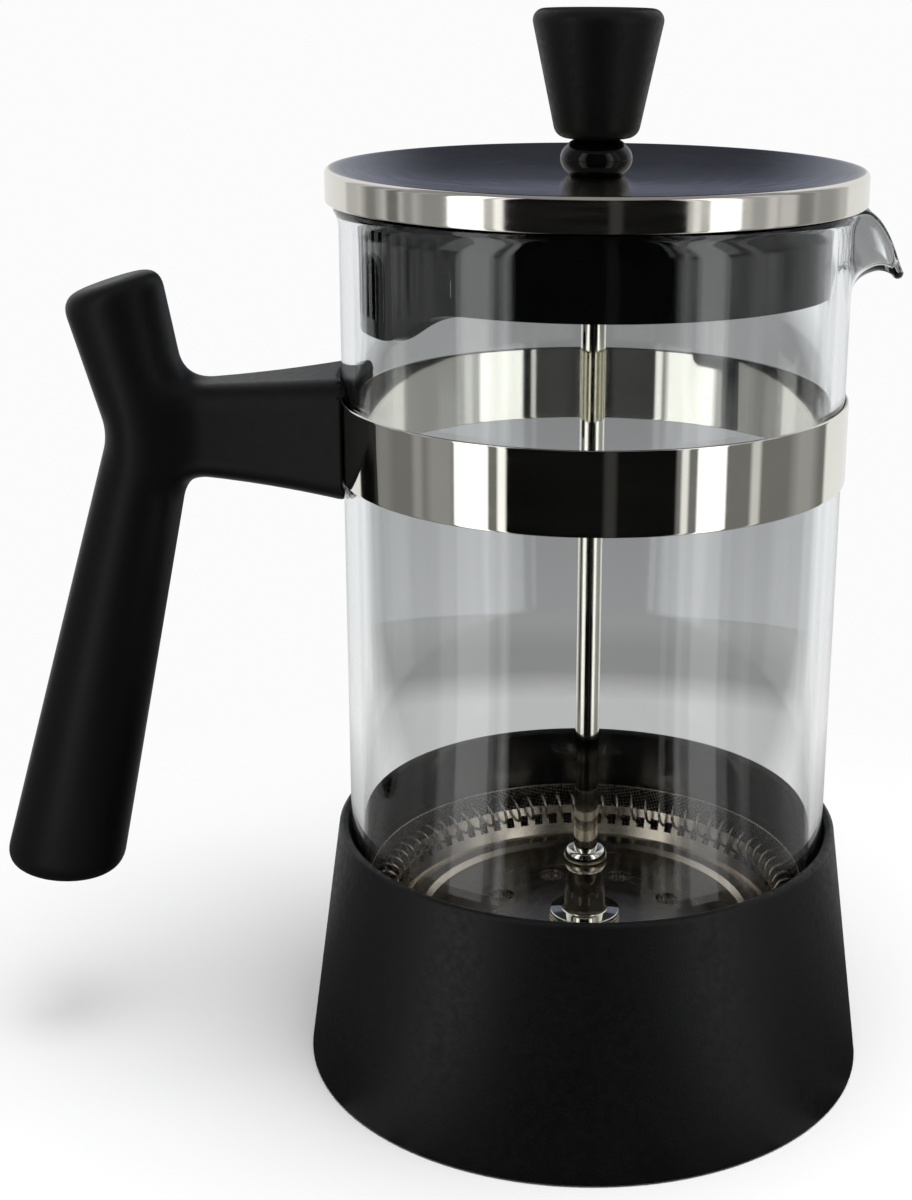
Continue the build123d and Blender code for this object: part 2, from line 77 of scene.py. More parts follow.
# The range of noise that is spread over the whole of a change
NOISE_BAND = (0.3, 0.7)
CLOUD_SCALE = 60.0
POLISH_SHARE = 0.35
# Upright faces below, level ones above, by the Z of the normal
LEVEL_BAND = (0.5, 0.95)


class Nodes:
    """Short hand for building a node tree."""

    def __init__(self, tree):
        self.tree = tree

    def add(self, kind, **values):
        node = self.tree.nodes.new(kind)
        for key, value in values.items():
            setattr(node, key, value)
        return node

    def link(self, source, target):
        self.tree.links.new(source, target)

    def feed(self, socket, value):
        """Sets a socket to a number or links it to another socket."""
        if isinstance(value, (int, float)):
            socket.default_value = value
        else:
            self.link(value, socket)

    def math(self, operation, a, b=None):
        node = self.add("ShaderNodeMath", operation=operation)
        for socket, value in zip(node.inputs, (a, b)):
            if value is not None:
                self.feed(socket, value)
        return node.outputs[0]

    def switch(self, factor, a, b):
        """The number a where the factor is 0 and b where it is 1."""
        node = self.add("ShaderNodeMix", data_type="FLOAT")
        self.link(factor, node.inputs["Factor"])
        self.feed(node.inputs["A"], a)
        self.feed(node.inputs["B"], b)
        return node.outputs["Result"]

    def tint(self, factor, a, b):
        """The colour a where the factor is 0 and b where it is 1."""
        node = self.add("ShaderNodeMix", data_type="RGBA")
        self.link(factor, node.inputs["Factor"])
        node.inputs["A"].default_value = (*a, 1)
        node.inputs["B"].default_value = (*b, 1)
        return node.outputs["Result"]

    def split(self, vector):
        """The X, Y and Z of a vector."""
        node = self.add("ShaderNodeSeparateXYZ")
        self.link(vector, node.inputs[0])
        return node.outputs

    def place(self):
        """The point that is shaded, in the object's own space."""
        return self.add("ShaderNodeTexCoord").outputs["Object"]

    def ramp(self, factor, low, high, out_low, out_high):
        node = self.add("ShaderNodeMapRange")
        self.link(factor, node.inputs["Value"])
        for key, value in zip(("From Min", "From Max", "To Min", "To Max"), (low, high, out_low, out_high)):
            node.inputs[key].default_value = value
        return node.outputs[0]

    def noise(self, vector, scale, detail=3.0, rough=0.5):
        node = self.add("ShaderNodeTexNoise")
        node.inputs["Scale"].default_value = scale
        node.inputs["Detail"].default_value = detail
        node.inputs["Roughness"].default_value = rough
        self.link(vector, node.inputs["Vector"])
        return node.outputs["Fac"]


def radius_of(n, x, y):
    """Distance from the Z axis."""
    return n.math("SQRT", n.math("ADD", n.math("MULTIPLY", x, x), n.math("MULTIPLY", y, y)))


def turned_coordinates(n, position, along):
    """Radius, height and a shortened arc length round the Z axis: noise on it looks lathe turned."""
    x, y, z = n.split(position)
    angle = n.math("ARCTAN2", y, x)
    joined = n.add("ShaderNodeCombineXYZ")
    n.link(radius_of(n, x, y), joined.inputs[0])
    n.link(n.math("MULTIPLY", angle, along), joined.inputs[1])
    n.link(z, joined.inputs[2])
    return joined.outputs[0]


def surface(name, color, second, rough, rough_vary=0.08, metallic=0.0, grain=2500.0, depth=0.00002,
            turned=0.0, specular=0.5, anisotropic=0.0, edge=0.0, upright=0.0):
    """Opaque material: two tones, uneven roughness and a fine grain, which may be lathe turned.

    The edge is the radius that sharp edges look rounded by; upright scales the roughness of vertical faces.
    """
    mat = bpy.data.materials.new(name)
    mat.use_nodes = True
    n = Nodes(mat.node_tree)
    shader = mat.node_tree.nodes["Principled BSDF"]
    position = n.place()
    fine = turned_coordinates(n, position, turned) if turned else position
    cloud = n.ramp(n.noise(position, CLOUD_SCALE, 4.0), *NOISE_BAND, 0.0, 1.0)
    n.link(n.tint(cloud, color, second), shader.inputs["Base Color"])
    shade = n.noise(fine, grain * POLISH_SHARE, 4.0)
    polish = n.ramp(shade, *NOISE_BAND, rough - rough_vary, rough + rough_vary)
    if upright:
        level = n.math("ABSOLUTE", n.split(n.add("ShaderNodeNewGeometry").outputs["Normal"])["Z"])
        polish = n.math("MULTIPLY", polish, n.ramp(level, *LEVEL_BAND, upright, 1.0))
    n.link(polish, shader.inputs["Roughness"])
    bump = n.add("ShaderNodeBump")
    bump.inputs["Distance"].default_value = depth
    n.link(n.noise(fine, grain, 2.0, 0.6), bump.inputs["Height"])
    if edge:
        bevel = n.add("ShaderNodeBevel", samples=4)
        bevel.inputs["Radius"].default_value = edge
        n.link(bevel.outputs[0], bump.inputs["Normal"])
    n.link(bump.outputs[0], shader.inputs["Normal"])
    shader.inputs["Metallic"].default_value = metallic
    shader.inputs["Specular IOR Level"].default_value = specular
    shader.inputs["Anisotropic"].default_value = anisotropic
    if anisotropic:
        tangent = n.add("ShaderNodeTangent", direction_type="RADIAL", axis="Z")
        n.link(tangent.outputs[0], shader.inputs["Tangent"])
    return mat


def glass_material():
    """Clear borosilicate glass with a barely uneven drawn surface."""
    mat = bpy.data.materials.new("clear_glass")
    mat.use_nodes = True
    n = Nodes(mat.node_tree)
    shader = mat.node_tree.nodes["Principled BSDF"]
    position = n.place()
    tone = n.tint(n.noise(position, 25.0), (0.985, 0.992, 0.99), (0.975, 0.985, 0.985))
    n.link(tone, shader.inputs["Base Color"])
    bump = n.add("ShaderNodeBump")
    bump.inputs["Strength"].default_value = 0.25
    bump.inputs["Distance"].default_value = 0.00004
    n.link(n.noise(turned_coordinates(n, position, 0.05), 45.0, 1.0), bump.inputs["Height"])
    n.link(bump.outputs[0], shader.inputs["Normal"])
    shader.inputs["Roughness"].default_value = 0.0
    shader.inputs["IOR"].default_value = 1.47
    shader.inputs["Transmission Weight"].default_value = 1.0
    return mat


SATIN_BLACK = surface("satin_black_plastic", (0.0018, 0.0018, 0.0020), (0.0030, 0.0030, 0.0034), 0.50,
                      grain=1900.0, depth=0.00003, specular=0.34, edge=0.0004)
HANDLE_BLACK = surface("satin_black_moulding", (0.0028, 0.0028, 0.0030), (0.0034, 0.0034, 0.0037), 0.42,
                       rough_vary=0.03, grain=2100.0, depth=0.00002, specular=0.155)
MATTE_BLACK = surface("matte_black_plastic", (0.0028, 0.0028, 0.003), (0.004, 0.004, 0.0042), 0.46,
                      grain=2400.0, depth=0.00003, specular=0.17)
GLOSS_BLACK = surface("gloss_black_plastic", (0.0025, 0.0025, 0.003), (0.004, 0.004, 0.0042), 0.08,
                      rough_vary=0.02, grain=300.0, depth=0.00001, specular=0.22, edge=0.00025)
RUBBER = surface("black_rubber", (0.012, 0.012, 0.012), (0.02, 0.02, 0.02), 0.75, grain=1500.0, depth=0.00005)
STEEL = surface("polished_steel", (0.81, 0.785, 0.70), (0.86, 0.835, 0.75), 0.04, rough_vary=0.015,
                metallic=1.0, grain=900.0, depth=0.000002, turned=0.004)
LID_STEEL = surface("turned_steel", (0.76, 0.725, 0.655), (0.82, 0.785, 0.715), 0.15, rough_vary=0.04,
                    metallic=1.0, grain=2600.0, depth=0.000003, turned=0.004, anisotropic=0.5, upright=0.45)
FILTER_STEEL = surface("filter_steel", (0.40, 0.35, 0.285), (0.47, 0.42, 0.35), 0.22, rough_vary=0.06,
                       metallic=1.0, grain=1200.0, depth=0.000006, turned=0.004)
WIRE = surface("woven_wire", (0.30, 0.27, 0.23), (0.38, 0.35, 0.30), 0.3, metallic=1.0, grain=3000.0,
               depth=0.00001)
BRASS = surface("machined_brass", (0.6, 0.42, 0.16), (0.7, 0.52, 0.22), 0.25, metallic=1.0, grain=2000.0,
                depth=0.00001, turned=0.004)
GLASS = glass_material()

NODE_LOOKS = {
    SATIN_BLACK: ["base_skirt"],
    RUBBER: ["foot_ring", "seat_ring"],
    STEEL: ["clamp_screw", "rod", "filter_hub"],
    BRASS: ["clamp_insert", "knob_insert"],
    GLOSS_BLACK: ["lid_insert", "guide_bush", "bush_retainer", "knob_collar"],
    MATTE_BLACK: ["knob"],
    FILTER_STEEL: ["spiral_plate", "cross_plate", "filter_nut"],
}
for look, names in NODE_LOOKS.items():
    for node_name in names:
        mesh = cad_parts[node_name].data
        mesh.materials.clear()
        mesh.materials.append(look)

# --- mesh helpers --------------------------------------------------------------


def build(name, verts, faces, body, look, replaced, sharp=40):
    """One smooth shaded piece from points in millimetres, in the place of some CAD nodes."""
    mesh = bpy.data.meshes.new(name)
    points = [tuple(p) for p in np.asarray(verts, float) * MM]
    mesh.from_pydata(points, [], [tuple(map(int, f)) for f in faces])
    mesh.update()
    mesh.shade_smooth()
    mesh.set_sharp_from_angle(angle=math.radians(sharp))
    mesh.materials.append(look)
    obj = bpy.data.objects.new(name, mesh)
    bpy.context.scene.collection.objects.link(obj)
    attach(obj, body)
    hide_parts(*replaced)
    return obj


def grid_faces(rows, columns, wrap_rows=False):
    """Quads between neighbouring rows of a grid of points, whose columns close round."""
    faces = []
    for i in range(rows if wrap_rows else rows - 1):
        a, b = i * columns, ((i + 1) % rows) * columns
        for j in range(columns):
            k = (j + 1) % columns
            faces.append((a + j, a + k, b + k, b + j))
    return faces


def merged(parts):
    """Points and faces of several parts in one list each."""
    verts, faces, offset = [], [], 0
    for part_verts, part_faces in parts:
        verts.append(part_verts)
        faces += [tuple(i + offset for i in face) for face in part_faces]
        offset += len(part_verts)
    return np.concatenate(verts), faces


def rounded(corners, steps=5):
    """Closed outline in radius and height with each corner (r, z, fillet) rounded by an arc."""
    points = []
    count = len(corners)
    for i, (r, z, fillet) in enumerate(corners):
        here = np.array((r, z), float)
        to_last = np.array(corners[i - 1][:2], float) - here
        to_next = np.array(corners[(i + 1) % count][:2], float) - here
        if fillet == 0:
            points.append(here)
            continue
        a, b = to_last / np.linalg.norm(to_last), to_next / np.linalg.norm(to_next)
        half = math.acos(np.clip(a @ b, -1, 1)) / 2
        reach = fillet / math.tan(half)
        centre = here + (a + b) / np.linalg.norm(a + b) * fillet / math.sin(half)
        start, end = here + a * reach - centre, here + b * reach - centre
        sweep = math.pi - 2 * half
        side = np.sign(start[0] * end[1] - start[1] * end[0])
        for k in range(steps + 1):
            t = side * sweep * k / steps
            turn = np.array(((math.cos(t), -math.sin(t)), (math.sin(t), math.cos(t))))
            points.append(centre + turn @ start)
    return points


def lathe(outline, segments=256):
    """Points and quads of a closed outline turned round Z."""
    angles = np.arange(segments) * TAU / segments
    rows = [np.stack((r * np.cos(angles), r * np.sin(angles), np.full(segments, z)), 1) for r, z in outline]
    return np.concatenate(rows), grid_faces(len(outline), segments, wrap_rows=True)


def catmull(points, count):
    """A smooth curve through points, sampled evenly in its parameter."""
    p = np.asarray(points, float)
    p = np.vstack((2 * p[0] - p[1], p, 2 * p[-1] - p[-2]))
    t = np.linspace(0, len(p) - 3 - 1e-9, count)
    i = t.astype(int)
    u = (t - i)[:, None]
    a, b, c, d = p[i], p[i + 1], p[i + 2], p[i + 3]
    return 0.5 * (2 * b + (c - a) * u + (2 * a - 5 * b + 4 * c - d) * u**2 + (3 * b - a - 3 * c + d) * u**3)


def unit(v):
    """Vectors scaled to length 1."""
    return v / np.maximum(np.linalg.norm(v, axis=-1, keepdims=True), 1e-12)


def smooth_step(t):
    """0 to 1 with no slope at either end."""
    t = np.clip(t, 0, 1)
    return t * t * (3 - 2 * t)


# --- beaker --------------------------------------------------------------------

LIP_R = GLASS_WALL / 2
SPOUT_FOOT_Z = GLASS_TOP - 25.0
RIM_ROW_Z = GLASS_TOP - LIP_R + 0.1
FLARE_START_Z = GLASS_TOP - 4.6
FLARE_R = 6.6
BOTTOM_RINGS = (2, 14, 28)
CORNER_ROWS = 8
WALL_ROWS = 14
LIP_ROWS = 8
SPOUT_COLUMNS = 96
ROUND_COLUMNS = 240
SPOUT_HALF_DEG = 14.6
SPOUT_FOOT_DEG = 4.0
SPOUT_WALL = 2.2
# The underside of the spout on its plane of symmetry: reach past the wall, height above the spout's foot
SPOUT_UNDERSIDE = [
    (0, 0), (0, 3.3), (0.05, 6.4), (0.7, 9.3), (2.5, 11.2), (5.2, 12.2), (7.3, 11.9), (8.6, 10.9),
]
UPPER_ROWS = 30
# How a point's share of the spout's pull acts outwards and downwards: the lip's edge is a drooping arc
REACH_POWER = 0.60
DROOP_POWER = 1.30
THINNING_RATE = 1.6


def beaker_angles():
    """Azimuths of the beaker's columns, closer together across the spout."""
    edge = SPOUT_HALF_DEG + 1
    fine = np.linspace(-edge, edge, SPOUT_COLUMNS + 1)[:-1]
    coarse = np.linspace(edge, 360 - edge, ROUND_COLUMNS + 1)[:-1]
    return np.radians(np.concatenate((fine, coarse)))


def beaker_wall(angles):
    """Outside surface from the centre of the bottom to the rim: rows of points and their spout weight."""
    spout = catmull(SPOUT_UNDERSIDE, UPPER_ROWS)
    c, s = np.cos(angles), np.sin(angles)
    around = (angles + math.pi) % TAU - math.pi
    profile = [(r, GLASS_LOW) for r in (*BOTTOM_RINGS, GLASS_R - GLASS_CORNER_R)]
    for k in range(1, CORNER_ROWS + 1):
        a = k / CORNER_ROWS * math.pi / 2
        r = GLASS_R - GLASS_CORNER_R * (1 - math.sin(a))
        profile.append((r, GLASS_LOW + GLASS_CORNER_R * (1 - math.cos(a))))
    for z in np.linspace(profile[-1][1], SPOUT_FOOT_Z, WALL_ROWS)[1:-1]:
        profile.append((GLASS_R, z))
    rows = [np.stack((r * c, r * s, np.full_like(c, z)), 1) for r, z in profile]
    weights = [np.zeros_like(c)] * len(rows)
    for k in range(UPPER_ROWS):
        t = k / (UPPER_ROWS - 1)
        z = SPOUT_FOOT_Z + t * (RIM_ROW_Z - SPOUT_FOOT_Z)
        rise = max(0, z - FLARE_START_Z)
        half = math.radians(SPOUT_FOOT_DEG + t * (SPOUT_HALF_DEG - SPOUT_FOOT_DEG))
        pull = np.cos(np.clip(np.abs(around) / half, 0, 1) * math.pi / 2) ** 2
        r = GLASS_R + FLARE_R - math.sqrt(FLARE_R**2 - rise**2)
        x_pull = pull**REACH_POWER * (GLASS_R + spout[k][0] - r)
        z_pull = pull**DROOP_POWER * (SPOUT_FOOT_Z + spout[k][1] - z)
        rows.append(np.stack((r * c + x_pull, r * s, z + z_pull), 1))
        weights.append(pull * smooth_step(t * THINNING_RATE))
    return np.array(rows), np.array(weights)


def make_beaker():
    """Glass wall of even thickness with a rounded lip and a pulled, hooked spout."""
    outer, weight = beaker_wall(beaker_angles())
    up = unit(np.gradient(outer, axis=0))
    along = unit(np.roll(outer, -1, 1) - np.roll(outer, 1, 1))
    normal = unit(np.cross(along, up))
    wall = GLASS_WALL + weight * (SPOUT_WALL - GLASS_WALL)
    inner = outer - normal * wall[..., None]
    middle = (outer[-1] + inner[-1]) / 2
    half = (outer[-1] - inner[-1]) / 2
    reach = np.linalg.norm(half, axis=1, keepdims=True)
    lip = []
    for k in range(1, LIP_ROWS):
        a = k / LIP_ROWS * math.pi
        lip.append(middle + half * math.cos(a) + up[-1] * reach * math.sin(a))
    rows = np.concatenate((outer, np.array(lip), inner[::-1]))
    count, columns = rows.shape[:2]
    verts = rows.reshape(-1, 3)
    centres = np.array(((0, 0, GLASS_LOW), (0, 0, GLASS_LOW + GLASS_WALL)))
    faces = grid_faces(count, columns)
    last = (count - 1) * columns
    for j in range(columns):
        k = (j + 1) % columns
        faces.append((len(verts), k, j))
        faces.append((len(verts) + 1, last + j, last + k))
    return build("beaker_glass", np.vstack((verts, centres)), faces, "holder", GLASS,
                 ["beaker"], sharp=180)


make_beaker()

# --- handle ----------------------------------------------------------------------

LEG_LOW_Z = 38.4
# Each edge line of the bar seen from the side: a point's X and Z, and X per Z
LEG_LEFT = (-98.7, 133.6, 0.2918)
LEG_RIGHT = (-83.2, 123.0, 0.2069)
STUB_LEFT = (-98.65, 136.8, -0.291)
STUB_RIGHT = (-83.5, 152.4, -0.178)
STUB_TOP = (-88.5, 168.4)
STUB_TILT = math.radians(17.6)
FOOT_TILT = 0.11
FOOT_X = -112.0
ELBOW_OUT_BLEND = 2.0
ELBOW_IN_BLEND = 3.0
# The bar's half width in Y at three heights
BAR_DEPTH_Z = (40, 130, 166)
BAR_DEPTH = (12.0, 9.7, 9.9)
BAR_SCALE = 0.97
FOOT_EDGE = 5.0
STUB_EDGE = 4.5
ARM_START_X = -92.0
ARM_START_EDGE = 4.0
ARM_Z = 136.5
ARM_EDGE_R = 5.0
# The arm's half width and half height: at its start, growth per millimetre, and flare
ARM_WIDTH = (7.5, 0.013, 0.00365)
ARM_HEIGHT = (8.75, 0.039, 0.00102)
CROTCH_BLEND = 6.0
SADDLE_R = BAND_R - STRAP_T + STRAP_GAP
SADDLE_EDGE = 0.7
CHANNEL_R = BAND_R + STRAP_GAP
CHANNEL_HALF_H = 8.9
CHANNEL_EDGE = 0.5
SCREW_HEAD_R = 3.6
RECESS_R = 4.0
RECESS_EDGE = 0.6
NET_STEP = 0.8
NET_MARGIN = 2
# The search for the surface ends inside the beaker, past the arm's saddle
NET_END_X = -GLASS_R * 0.9
SETTLE_STEP = 0.05
NORMAL_STEP = 0.3


def smin(a, b, k):
    """The lower of two fields, rounded over k where they meet."""
    h = np.clip(0.5 + 0.5 * (b - a) / k, 0, 1)
    return b * (1 - h) + a * h - k * h * (1 - h)


def smax(a, b, k):
    """The higher of two fields, rounded over k where they meet."""
    return -smin(-a, -b, k)


def edge_line(line, z):
    """X of a leaning edge at a height."""
    x0, z0, slope = line
    return x0 + (z - z0) * slope


def bar_field(x, y, z):
    """The leg and the thumb rest, which meet at the elbow."""
    left = smin(edge_line(LEG_LEFT, z), edge_line(STUB_LEFT, z), ELBOW_OUT_BLEND)
    right = smin(edge_line(LEG_RIGHT, z), edge_line(STUB_RIGHT, z), ELBOW_IN_BLEND)
    centre, half = (left + right) / 2, (right - left) / 2
    depth = np.interp(z, BAR_DEPTH_Z, BAR_DEPTH)
    bar = (np.sqrt(((x - centre) / half) ** 2 + (y / depth) ** 2) - 1) * np.minimum(half, depth) * BAR_SCALE
    bar = smax(bar, LEG_LOW_Z - FOOT_TILT * (x - FOOT_X) - z, FOOT_EDGE)
    top = -math.sin(STUB_TILT) * (x - STUB_TOP[0]) + math.cos(STUB_TILT) * (z - STUB_TOP[1])
    return smax(bar, top, STUB_EDGE)


def flared(along, start, growth, flare):
    """A size that grows along the arm, faster and faster."""
    return start + along * (growth + flare * along)


def arm_field(x, y, z):
    """The arm: a rounded box that flares towards the beaker."""
    along = np.clip(x - ARM_START_X, 0, None)
    qy = np.abs(y) - flared(along, *ARM_WIDTH) + ARM_EDGE_R
    qz = np.abs(z - ARM_Z) - flared(along, *ARM_HEIGHT) + ARM_EDGE_R
    arm = np.hypot(np.maximum(qy, 0), np.maximum(qz, 0)) + np.minimum(np.maximum(qy, qz), 0) - ARM_EDGE_R
    return smax(arm, ARM_START_X - x, ARM_START_EDGE)


def handle_field(p):
    """Signed distance, roughly, to the handle's surface at points p in millimetres."""
    x, y, z = p[..., 0], p[..., 1], p[..., 2]
    body = smin(bar_field(x, y, z), arm_field(x, y, z), CROTCH_BLEND)
    radius = np.hypot(x, y)
    body = smax(body, SADDLE_R - radius, SADDLE_EDGE)
    channel = np.maximum(radius - CHANNEL_R, np.abs(z - (band_low.z + band_high.z) / 2) - CHANNEL_HALF_H)
    body = smax(body, -channel, CHANNEL_EDGE)
    from_screw = np.hypot(x - screw_low.x - SCREW_HEAD_R, z - screw_low.z - SCREW_HEAD_R)
    recess = np.maximum(from_screw - RECESS_R, screw_high.y - SCREW_HEAD_R - y)
    return smax(body, -recess, RECESS_EDGE)


def surface_net(field, low, high, step):
    """Quads over the zero surface of a field: one point in each cell that it crosses."""
    counts = [int(math.ceil((b - a) / step)) + 1 for a, b in zip(low, high)]
    axes = [a + step * np.arange(n) for a, n in zip(low, counts)]
    value = field(np.stack(np.meshgrid(*axes, indexing="ij"), -1))
    cells = tuple(n - 1 for n in counts)
    total, count = np.zeros((*cells, 3)), np.zeros(cells)
    for axis in range(3):
        for offset in ((0, 0), (0, 1), (1, 0), (1, 1)):
            start = list(offset)
            start.insert(axis, 0)
            end = list(start)
            end[axis] = 1
            f0 = value[tuple(slice(s, s + n) for s, n in zip(start, cells))]
            f1 = value[tuple(slice(s, s + n) for s, n in zip(end, cells))]
            crossed = (f0 < 0) != (f1 < 0)
            point = np.tile(np.array(start, float), (*cells, 1))
            point[..., axis] = np.where(crossed, f0 / np.where(f0 == f1, 1, f0 - f1), 0)
            total[crossed] += point[crossed]
            count += crossed
    used = count > 0
    index = np.full(cells, -1)
    index[used] = np.arange(used.sum())
    verts = (np.argwhere(used) + total[used] / count[used][:, None]) * step + np.array(low)
    inside = value < 0
    faces = []
    for axis in range(3):
        b, c = [a for a in range(3) if a != axis]
        near = np.take(inside, range(counts[axis] - 1), axis)
        far = np.take(inside, range(1, counts[axis]), axis)
        where = np.argwhere(near != far)
        for side in (b, c):
            where = where[(where[:, side] > 0) & (where[:, side] < counts[side] - 1)]
        quad = []
        for db, dc in ((1, 1), (0, 1), (0, 0), (1, 0)):
            cell = where.copy()
            cell[:, b] -= db
            cell[:, c] -= dc
            quad.append(index[tuple(cell.T)])
        quad = np.stack(quad, 1)
        flip = near[tuple(where.T)] == (axis == 1)
        quad[flip] = quad[flip][:, ::-1]
        faces.append(quad)
    return verts, np.concatenate(faces)


def field_slope(field, verts, step):
    """Gradient of a field by central differences."""
    return np.stack([field(verts + e) - field(verts - e) for e in np.eye(3) * step], -1) / (2 * step)


def settle(field, verts, rounds=4):
    """Moves points onto the zero surface along the field's gradient."""
    for _ in range(rounds):
        slope = field_slope(field, verts, SETTLE_STEP)
        size = np.maximum((slope**2).sum(-1, keepdims=True), 0.25)
        move = field(verts)[:, None] * slope / size
        verts = verts - np.clip(move, -NET_STEP / 2, NET_STEP / 2)
    return verts


def make_handle():
    """Leg, thumb rest and arm run into each other, with a saddle and channel against the beaker."""
    low = (handle_low.x - NET_MARGIN, handle_low.y - 2 * NET_MARGIN, handle_low.z - NET_MARGIN)
    high = (NET_END_X, handle_high.y + 2 * NET_MARGIN, handle_high.z + NET_MARGIN)
    verts, faces = surface_net(handle_field, low, high, NET_STEP)
    verts = settle(handle_field, verts)
    grip = build("handle_grip", verts, faces, "holder", HANDLE_BLACK, ["handle_body"],
                 sharp=180)
    normals = unit(field_slope(handle_field, verts, NORMAL_STEP))
    grip.data.normals_split_custom_set_from_vertices(normals.tolist())
    return grip


make_handle()

# --- band and lid ----------------------------------------------------------------

STRAP_EDGE_R = 0.2
STRAP_INNER_EDGE_R = 0.12
STRAP_SUPPORT = 0.4
STRAP_STEPS = 320
EAR_GAP = 2.2
EAR_INSET = 1.8
EAR_OVERLAP = 0.3
LID_SHEET = 0.7
LID_EDGE_R = 1.0
LID_DISH = 1.7
LID_LEDGE = 0.8
LID_BORE_R = 4.05
DISH_STEPS = 40
EDGE_STEPS = 8
RIM_EDGE_R = 0.2
RIM_SUPPORT = 0.5
LID_COLUMNS = 320


def ear(side):
    """One of the strap's two flat ends, which turn outwards."""
    near, far = sorted((side * EAR_GAP / 2, side * (EAR_GAP / 2 + STRAP_T)))
    heights = (band_low.z + EAR_INSET, band_high.z - EAR_INSET)
    corners = [(x, y, z) for z in heights for y in (near, far) for x in (band_low.x, -BAND_R + EAR_OVERLAP)]
    faces = [(0, 2, 3, 1), (4, 5, 7, 6), (0, 1, 5, 4), (2, 6, 7, 3), (0, 4, 6, 2), (1, 3, 7, 5)]
    return np.array(corners), faces


def make_band():
    """Strap with soft edges, open behind the handle's arm where its ends turn outwards."""
    inside = BAND_R - STRAP_T
    low, high = band_low.z, band_high.z
    near_low, near_high = low + STRAP_SUPPORT, high - STRAP_SUPPORT
    strap = rounded([
        (inside, low, STRAP_INNER_EDGE_R), (BAND_R, low, STRAP_EDGE_R),
        (BAND_R, near_low, 0), (BAND_R, near_high, 0),
        (BAND_R, high, STRAP_EDGE_R), (inside, high, STRAP_INNER_EDGE_R),
        (inside, near_high, 0), (inside, near_low, 0),
    ], 4)
    mouth = math.asin(EAR_GAP / 2 / BAND_R)
    angles = np.linspace(math.pi + mouth, 3 * math.pi - mouth, STRAP_STEPS + 1)
    verts = np.array([(r * math.cos(a), r * math.sin(a), z) for a in angles for r, z in strap])
    count = len(strap)
    faces = grid_faces(len(angles), count)
    faces.append(tuple(range(count)))
    faces.append(tuple(reversed(range(len(verts) - count, len(verts)))))
    verts, faces = merged([(verts, faces), ear(-1), ear(1)])
    return build("band_strap", verts, faces, "holder", STEEL, ["band"])


def make_lid():
    """Pressed cap with a dished top, a tight shoulder and a straight rim."""
    top, low = lid_high.z, lid_low.z
    rim_r = lid_high.y
    inner_r = rim_r - LID_SHEET
    turn_r = rim_r - LID_EDGE_R
    outline = []
    for k in range(DISH_STEPS + 1):
        share = k / DISH_STEPS
        r = LID_BORE_R + share * (turn_r - LID_LEDGE - LID_BORE_R)
        outline.append((r, top - LID_DISH * (1 - share**2)))
    for k in range(EDGE_STEPS + 1):
        a = k / EDGE_STEPS * math.pi / 2
        outline.append((turn_r + LID_EDGE_R * math.sin(a), top - LID_EDGE_R * (1 - math.cos(a))))
    underside = outline[DISH_STEPS + 4:DISH_STEPS + 1:-1] + outline[DISH_STEPS::-4]
    outline += rounded([
        (rim_r, top - LID_EDGE_R - 0.3, 0), (rim_r, low + RIM_SUPPORT, 0), (rim_r, low, RIM_EDGE_R),
        (inner_r, low, RIM_EDGE_R), (inner_r, low + RIM_SUPPORT, 0), (inner_r, top - 2, 0),
    ], 4)
    outline += [(r, z - LID_SHEET) for r, z in underside]
    verts, faces = lathe(outline, LID_COLUMNS)
    return build("lid_cap", verts, [f[::-1] for f in faces], "lid", LID_STEEL, ["lid_cover"])


make_band()
make_lid()

# --- filter ----------------------------------------------------------------------

TURNS = 75
WIRE_R = 0.35
COIL_OUT_R = coil_high.y
COIL_MINOR_R = (coil_high.z - coil_low.z) / 2 - WIRE_R
COIL_R = COIL_OUT_R - COIL_MINOR_R - WIRE_R
COIL_Z = (coil_high.z + coil_low.z) / 2
MESH_RIM_R = mesh_high.y
MESH_T = 0.35
WEAVE = 0.8
WEAVE_WIRE = 0.1
WEAVE_WAVE = 0.8
WEAVE_BORE_R = 2.7
# The cloth stays flat up to here inside the coil, then turns up round it in steps
FLAT_END = 4.0
TURN_UP_DEG = range(-88, 1, 8)
RIM_WIRE_R = 0.24
RIM_WIRE_INSET = 0.08
RIM_WIRE_DROP = 0.3
TURN_STEPS = 28
WIRE_SIDES = 8
HUB_BORE_R = 2.5
HUB_FLANGE_H = 1.1
HUB_BARREL_R = 4.4
HUB_NECK_R = 3.8
HUB_BEAD_R = 4.7
HUB_BEAD_HALF_H = 2.5
HUB_BEAD_CORE = 1.0
BEAD_STEPS = 18
# Not parallel to any stretch of wire
NEARLY_UP = (0.0123, 0.0071, 1.0)


def tube(path, radius, sides, closed=False):
    """Points and quads of a round wire along a path."""
    path = np.asarray(path, float)
    if closed:
        forward = unit(np.roll(path, -1, 0) - np.roll(path, 1, 0))
    else:
        forward = unit(np.gradient(path, axis=0))
    side = unit(np.cross(forward, NEARLY_UP))
    up = np.cross(side, forward)
    rows = []
    for k in range(sides):
        a = k / sides * TAU
        rows.append(path + radius * (side * math.cos(a) + up * math.sin(a)))
    verts = np.stack(rows, 1)
    return verts.reshape(-1, 3), grid_faces(len(path), sides, wrap_rows=closed)


